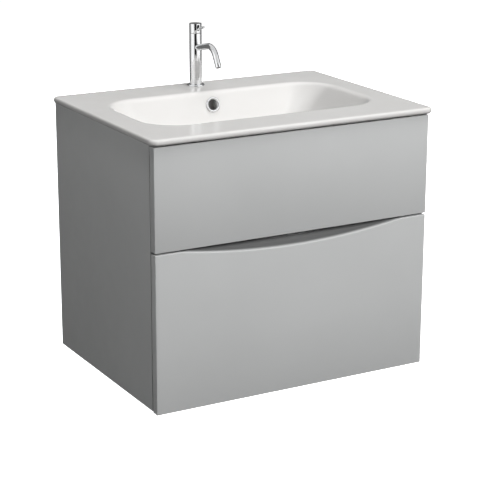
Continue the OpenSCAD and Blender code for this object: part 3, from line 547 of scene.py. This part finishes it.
def basin():
    low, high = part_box("basin")
    half_w, depth, z_rim = high.x, -low.y, high.z
    thick, edge, corner = 0.012, 0.005, 0.015
    z_deck = z_rim - thick
    levels = {0: (0.250, -0.362, -0.106, 0.076), 68: (0.196, -0.332, -0.12295, 0.040),
              93: (0.152, -0.300, -0.158, 0.032)}

    def wall(d, grow=0.0):
        a, b = (0, 68) if d <= 68 else (68, 93)
        t = (d - a) / (b - a)
        la, lb = levels[a], levels[b]
        h, f, k, r = (la[i] + (lb[i] - la[i]) * t for i in range(4))
        if d < 68:
            r = 0.076 - 0.036 * min(1.0, (d / 68) ** 0.6)
        return (h + grow, f - grow, k + grow, r + grow, z_rim - d * MM)

    def edge_ring(inset, z):
        return rounded_ring(half_w - inset, -depth + inset, -inset, corner - inset, z)

    rings = []
    arc = [math.radians(a) for a in (0, 15, 30, 45, 60, 75, 90)]
    for a in arc:  # lower rounding, from the underside out
        rings.append(edge_ring(edge * (1 - math.sin(a)), z_deck + edge * (1 - math.cos(a))))
    for a in arc:  # upper rounding
        rings.append(edge_ring(edge * (1 - math.cos(a)), z_rim - edge * (1 - math.sin(a))))
    rings.append(edge_ring(0.012, z_rim))
    rim = [wall(0, g) for g in (0.026, 0.019, 0.012, 0.005)]
    rim = [(h, f, k, r, z_rim) for h, f, k, r, z in rim]
    inside = [wall(d) for d in (3, 10, 19, 30, 43, 56, 68, 79, 88)]
    floor = [(0.138, -0.292, -0.168, 0.036, z_rim - 0.0955), (0.112, -0.284, -0.180, 0.036, z_rim - 0.0978),
             (0.080, -0.276, -0.191, 0.036, z_rim - 0.0992), (0.052, -0.271, -0.197, 0.035, z_rim - 0.0998)]
    for h, f, k, r, z in spline(rim + inside + floor, 4):
        rings.append(rounded_ring(h, f, k, r, z))
    guide = rings[-1]
    z_floor = z_rim - 0.100
    z_boss = z_floor - 0.027
    for r, z in ((0.0335, z_floor), (0.0326, z_floor - 0.0002), (0.0321, z_floor - 0.0008), (0.032, z_floor - 0.003),
                 (0.0232, z_floor - 0.003), (0.023, z_floor - 0.0034), (0.023, z_boss + 0.0005), (0.0235, z_boss),
                 (0.0348, z_boss), (0.0357, z_boss + 0.0003), (0.036, z_boss + 0.0012), (0.036, z_floor - 0.0105),
                 (0.037, z_floor - 0.0093), (0.040, z_floor - 0.009)):
        rings.append(circle_ring(guide, Y_WASTE, r, z))
    under = [(0.080, -0.280, -0.188, 0.040, z_floor - 0.009)]
    under += [(h, f, k, r, z - 0.009) for h, f, k, r, z in (wall(93, 0.009), wall(82, 0.009), wall(68, 0.009))]
    under += [(h, f, k, r, z) for h, f, k, r, z in (wall(50, 0.009), wall(30, 0.009), wall(17, 0.009))]
    h, f, k, r, z = wall(12, 0.009)
    under += [(h + 0.001, f - 0.001, k + 0.001, r, z_deck + 0.0004),
              (h + 0.006, f - 0.006, k + 0.006, r + 0.004, z_deck)]
    for h, f, k, r, z in under:
        rings.append(rounded_ring(h, f, k, r, z))
    rings.append(edge_ring(0.012, z_deck))
    count = len(rings[0])
    verts = [v for ring in rings for v in ring]
    body = add_object("basin_glazed", verts, loft_faces(len(rings), count, True), 50.0)

    def block(name, lo, hi):
        xs, ys, zs = zip(lo, hi)
        v = [(x, y, z) for x in xs for y in ys for z in zs]
        f = [(0, 1, 3, 2), (4, 6, 7, 5), (0, 4, 5, 1), (2, 3, 7, 6), (0, 2, 6, 4), (1, 5, 7, 3)]
        return add_object(name, v, f)

    hole = overflow_place(z_rim - OVERFLOW_DROP)
    y_duct = Y_BOWL_BACK - OVERFLOW_DROP * math.tan(OVERFLOW_LEAN) + 0.009 / math.cos(OVERFLOW_LEAN)
    back = y_duct + 0.016
    side = [(-0.104, z_deck + 0.001), (-0.118, z_rim - 0.068), (-0.118, z_floor - 0.023), (back, z_floor - 0.023),
            (back, z_deck + 0.001)]
    around = [(i, (i + 1) % 5, (i + 1) % 5 + 5, i + 5) for i in range(5)]
    case = add_object("case", [(x, y, z) for x in (-0.017, 0.017) for y, z in side],
                      [(0, 1, 2, 3, 4), (9, 8, 7, 6, 5)] + around)
    run = block("run", (-0.017, Y_WASTE, z_floor - 0.023), (0.017, back, z_floor - 0.0095))
    for o in (case, run):
        boolean(body, o, "UNION")
    boolean(body, block("duct", (-0.012, y_duct, z_floor - 0.018), (0.012, y_duct + 0.011, z_rim - 0.016)))
    boolean(body, block("duct_run", (-0.012, Y_WASTE, z_floor - 0.018), (0.012, y_duct + 0.011, z_floor - 0.010)))
    boolean(body, lathe("overflow_hole", [(0, -0.0145), (0.012, -0.0145), (0.012, 0.03), (0, 0.03)], hole, 64))
    boolean(body, lathe("tap_hole", [(0, z_deck - 0.01), (0.0175, z_deck - 0.01), (0.0175, z_rim + 0.01),
                                     (0, z_rim + 0.01)], Matrix.Translation((0, Y_TAP, 0)), 64))
    shade(body, 50.0)
    return body


def joined(name, objects):
    """One object from several closed shells."""
    bm = bmesh.new()
    for obj in objects:
        bm.from_mesh(obj.data)
    mesh = bpy.data.meshes.new(name)
    bm.to_mesh(mesh)
    bm.free()
    for obj in objects:
        bpy.data.objects.remove(obj)
    obj = bpy.data.objects.new(name, mesh)
    bpy.context.scene.collection.objects.link(obj)
    return obj


def boolean(obj, cutter, operation="DIFFERENCE"):
    mod = obj.modifiers.new("cut", "BOOLEAN")
    mod.operation = operation
    mod.solver = "EXACT"
    mod.object = cutter
    baked(obj)
    mesh = cutter.data
    bpy.data.objects.remove(cutter)
    bpy.data.meshes.remove(mesh)


stand_for(basin(), "basin", "ceramic")


# ---------------------------------------------------------------- overflow ring and waste

def overflow_ring():
    profile = [(0.0100, -0.0090), (0.0119, -0.0090), (0.0119, 0.0004), (0.0160, 0.0004), (0.0160, 0.0016),
               (0.0152, 0.0030), (0.0136, 0.0035), (0.0116, 0.0030), (0.0104, 0.0016)]
    place = overflow_place(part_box("basin")[1].z - OVERFLOW_DROP)
    return lathe("overflow_ring_turned", rounded(profile, 0.0009, 5), place, 96)


def waste_plug():
    low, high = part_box("waste_plug")
    r, z = high.x, high.z
    place = Matrix.Translation((0, Y_WASTE, 0))
    dome = [(0.0, z), (0.006, z - 0.0001), (0.012, z - 0.0004), (0.018, z - 0.0009), (0.023, z - 0.0016),
            (0.0265, z - 0.0023), (r - 0.0012, z - 0.0030), (r - 0.0003, z - 0.0038), (r, z - 0.0044)]
    edge = [(r - 0.0002, high.z - 0.0047), (r - 0.0010, high.z - 0.0048)]
    stem = [(0.0045, high.z - 0.0048), (0.0032, high.z - 0.0056), (0.0030, high.z - 0.0070),
            (0.0030, low.z + 0.0006), (0.0024, low.z), (0.0, low.z)]
    return lathe("waste_plug_domed", dome + edge + stem, place, 96, closed=False)


stand_for(overflow_ring(), "overflow_ring", "chrome")
stand_for(waste_plug(), "waste_plug", "chrome")
stand_for(softened("waste_body", 0.4 * MM, 3, 50.0), "waste_body", "chrome")
stand_for(softened("waste_nut", 0.6 * MM, 2, 50.0), "waste_nut", "chrome")


# ---------------------------------------------------------------- tap

TAP = Matrix.Translation((0, Y_TAP, 0))
TAP_R = 0.01275


def tap_base():
    low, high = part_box("tap_base")
    r, z0, z1 = high.x, low.z, high.z
    inner = TAP_R + 0.00005
    return lathe("tap_base_ring", rounded(
        [(inner, z0), (r, z0), (r, z0 + 0.0024), (r - 0.0016, z1), (inner, z1)], 0.0009, 5), TAP, 96)


def tap_body():
    low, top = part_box("tap_foot_block")[0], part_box("tap_body")[1].z
    profile = [(0.0, low.z), (TAP_R, low.z), (TAP_R, top), (0.01005, top), (0.01005, top - 0.044), (0.0, top - 0.044)]
    return lathe("tap_body_turned", rounded(profile, 0.0004, 4), TAP, 128)


def tap_spout():
    root = Vector((0, Y_TAP, 0.131))
    rise, bend, radius = math.radians(12), math.radians(72), 0.032
    lead, tail, outer, inner = 0.055, 0.025, 0.00635, 0.0048
    path = []
    for k in range(6):
        s = 0.0085 + (lead - 0.0085) * k / 5
        path.append((root + s * Vector((0, -math.cos(rise), math.sin(rise))), rise))
    centre = path[-1][0] + radius * Vector((0, -math.sin(rise), -math.cos(rise)))
    for k in range(1, 33):
        a = rise - bend * k / 32
        path.append((centre + radius * Vector((0, math.sin(a), math.cos(a))), a))
    last, a = path[-1]
    ahead = Vector((0, -math.cos(a), math.sin(a)))
    for s in (0.008, 0.016, tail - 0.0006):
        path.append((last + ahead * s, a))
    count = 64

    def ring(p, angle, r):
        up = Vector((0, math.sin(angle), math.cos(angle)))
        side = Vector((1, 0, 0))
        return [p + r * (math.cos(2 * math.pi * k / count) * side + math.sin(2 * math.pi * k / count) * up)
                for k in range(count)]

    rings = [ring(p, g, outer) for p, g in path]
    tip = last + ahead * tail
    rings += [ring(tip - ahead * 0.0002, a, outer - 0.00012), ring(tip, a, outer - 0.0005),
              ring(tip, a, inner + 0.0004), ring(tip - ahead * 0.0004, a, inner)]
    rings += [ring(p, g, inner) for p, g in reversed(path[:-1])]
    return add_object("tap_spout_swept", [v for r in rings for v in r], loft_faces(len(rings), count, True), 40.0)


def tap_lever():
    pivot = Vector((0, Y_TAP, 0.167))
    place = Matrix.Translation(pivot) @ Matrix.Rotation(math.radians(72), 4, "X")
    r, length = 0.0025, 0.0407
    profile = [(0.0, -0.0026), (r, -0.0026), (r, length - 0.0074), (r - 0.0004, length - 0.0070),
               (r - 0.0004, length - 0.0064), (r, length - 0.0060)]
    profile += [(r * math.cos(t), length - r + r * math.sin(t)) for t in [math.pi / 2 * k / 10 for k in range(11)]]
    profile[-1] = (0.0, length)
    pin = lathe("tap_lever_pin", profile, place, 48, closed=False)
    across = Matrix.Translation(pivot) @ Matrix.Rotation(math.radians(90), 4, "Y")
    barrel = [(0, -0.0117), (0.0015, -0.0117), (0.0015, -0.0045), (0.004, -0.0045), (0.004, 0.0045), (0.0015, 0.0045),
              (0.0015, 0.0117), (0, 0.0117)]
    hub = lathe("hub", rounded(barrel, 0.0004, 3), across, 48)
    lever = joined("tap_lever_turned", [pin, hub])
    shade(lever, 40.0)
    return lever


stand_for(tap_base(), "tap_base", "chrome")
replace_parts(stand_for(tap_body(), "tap_body", "chrome"), "tap_foot_block")
stand_for(tap_spout(), "tap_spout", "chrome")
stand_for(softened("tap_cap", 0.35 * MM, 3, 50.0), "tap_cap", "chrome")
stand_for(tap_lever(), "tap_lever", "chrome")


# ---------------------------------------------------------------- floor, light, camera

# What gloss sees round the object: from, to (degrees from -Y towards +X), brightness
PANELS = [
    (-180, -132, 0.16), (-132, -110, 0.6), (-110, -58, 1.15), (-58, -46, 0.7), (-46, -10, 0.02), (-10, 2, 0.5),
    (2, 62, 1.25), (62, 76, 0.6), (76, 128, 0.2), (128, 180, 0.16),
]
# Softboxes: name, position, target, size, power
LIGHTS = [
    ("key", (3.2, -7.2, 4.4), (0, -0.3, -0.15), 3.4, 735),
    ("top", (0.2, -0.9, 3.4), (0, -0.25, 0), 2.6, 98),
    ("left", (-4.2, -1.0, 0.9), (0, -0.2, -0.2), 3.0, 54),
    ("rear", (1.2, 3.8, 1.7), (0, -0.2, -0.1), 3.0, 105),
]


def stage_material():
    mat = bpy.data.materials.new("floor_pale")
    mat.use_nodes = True
    nodes, links = mat.node_tree.nodes, mat.node_tree.links
    s = nodes["Principled BSDF"]
    coords = nodes.new("ShaderNodeTexCoord")
    links.new(spread(nodes, links, noise(nodes, links, coords, 3.0, 2.0), 0.80, 0.90), s.inputs["Roughness"])
    s.inputs["Base Color"].default_value = (0.9, 0.9, 0.9, 1)
    s.inputs["Emission Color"].default_value = (1, 1, 1, 1)
    s.inputs["Emission Strength"].default_value = 0.88
    return mat


def level_square(name, half, z):
    return add_object(name, [(-half, -half, z), (half, -half, z), (half, half, z), (-half, half, z)], [(0, 1, 2, 3)])


def floor():
    obj = level_square("floor", 40.0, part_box("lower_front")[0].z - 0.30)
    obj.data.materials.append(stage_material())
    obj.visible_diffuse = False
    obj.visible_glossy = False


def reflectors():
    """A ring of grey panels and a roof that only gloss sees."""
    radius, low, high = 14.0, -12.0, 12.0
    for start, stop, value in PANELS:
        steps = max(1, int((stop - start) / 4))
        angles = [math.radians(start + (stop - start) * k / steps) for k in range(steps + 1)]
        verts = [(radius * math.sin(a), -radius * math.cos(a), z) for a in angles for z in (low, high)]
        obj = add_object("panel_%d" % start if start >= 0 else "panel_m%d" % -start, verts,
                         [(2 * k, 2 * k + 2, 2 * k + 3, 2 * k + 1) for k in range(steps)])
        glow(obj, value)
    glow(level_square("roof", 16.0, high), 0.75)


def glow(obj, value):
    """Makes a panel shine evenly, seen by nothing but reflections."""
    mat = bpy.data.materials.new(obj.name)
    mat.use_nodes = True
    s = mat.node_tree.nodes["Principled BSDF"]
    s.inputs["Base Color"].default_value = (0, 0, 0, 1)
    s.inputs["Specular IOR Level"].default_value = 0.0
    s.inputs["Emission Color"].default_value = (1, 1, 1, 1)
    s.inputs["Emission Strength"].default_value = value
    obj.data.materials.append(mat)
    obj.visible_camera = False
    obj.visible_diffuse = False
    obj.visible_shadow = False
    obj.visible_transmission = False


def area(name, position, target, size, power):
    """A softbox. What it shows in gloss comes from the reflectors, so highlights stay broad."""
    light = bpy.data.lights.new(name, "AREA")
    light.shape = "SQUARE"
    light.size = size
    light.energy = power
    obj = bpy.data.objects.new(name, light)
    bpy.context.collection.objects.link(obj)
    position, target = Vector(position), Vector(target)
    obj.location = position
    obj.rotation_mode = "QUATERNION"
    obj.rotation_quaternion = (target - position).to_track_quat("-Z", "Y")
    obj.visible_glossy = False


floor()
reflectors()
for spec in LIGHTS:
    area(*spec)

world = bpy.data.worlds.new("studio")
bpy.context.scene.world = world
world.use_nodes = True
world.node_tree.nodes["Background"].inputs["Color"].default_value = (1, 1, 1, 1)
world.node_tree.nodes["Background"].inputs["Strength"].default_value = 1.0
world.cycles_visibility.diffuse = False
world.cycles_visibility.glossy = False

camera_data = bpy.data.cameras.new("camera")
camera = bpy.data.objects.new("camera", camera_data)
bpy.context.collection.objects.link(camera)
camera_data.sensor_width = 36.0
camera_data.lens = 120.2
camera_data.clip_start, camera_data.clip_end = 0.05, 100.0
camera_at = (-1.582, -3.0796, 0.7236)
yaw, pitch, roll = 0.5129, 0.2917, 0.0035  # radians: turned right, down and anticlockwise
ahead = Vector((math.sin(yaw) * math.cos(pitch), math.cos(yaw) * math.cos(pitch), -math.sin(pitch)))
right = Vector((math.cos(yaw), -math.sin(yaw), 0))
up = right.cross(ahead)
right, up = math.cos(roll) * right + math.sin(roll) * up, -math.sin(roll) * right + math.cos(roll) * up
camera.matrix_world = Matrix((
    (right.x, up.x, -ahead.x, camera_at[0]), (right.y, up.y, -ahead.y, camera_at[1]),
    (right.z, up.z, -ahead.z, camera_at[2]), (0, 0, 0, 1)))
bpy.context.scene.camera = camera
bpy.context.scene.view_settings.view_transform = "Standard"
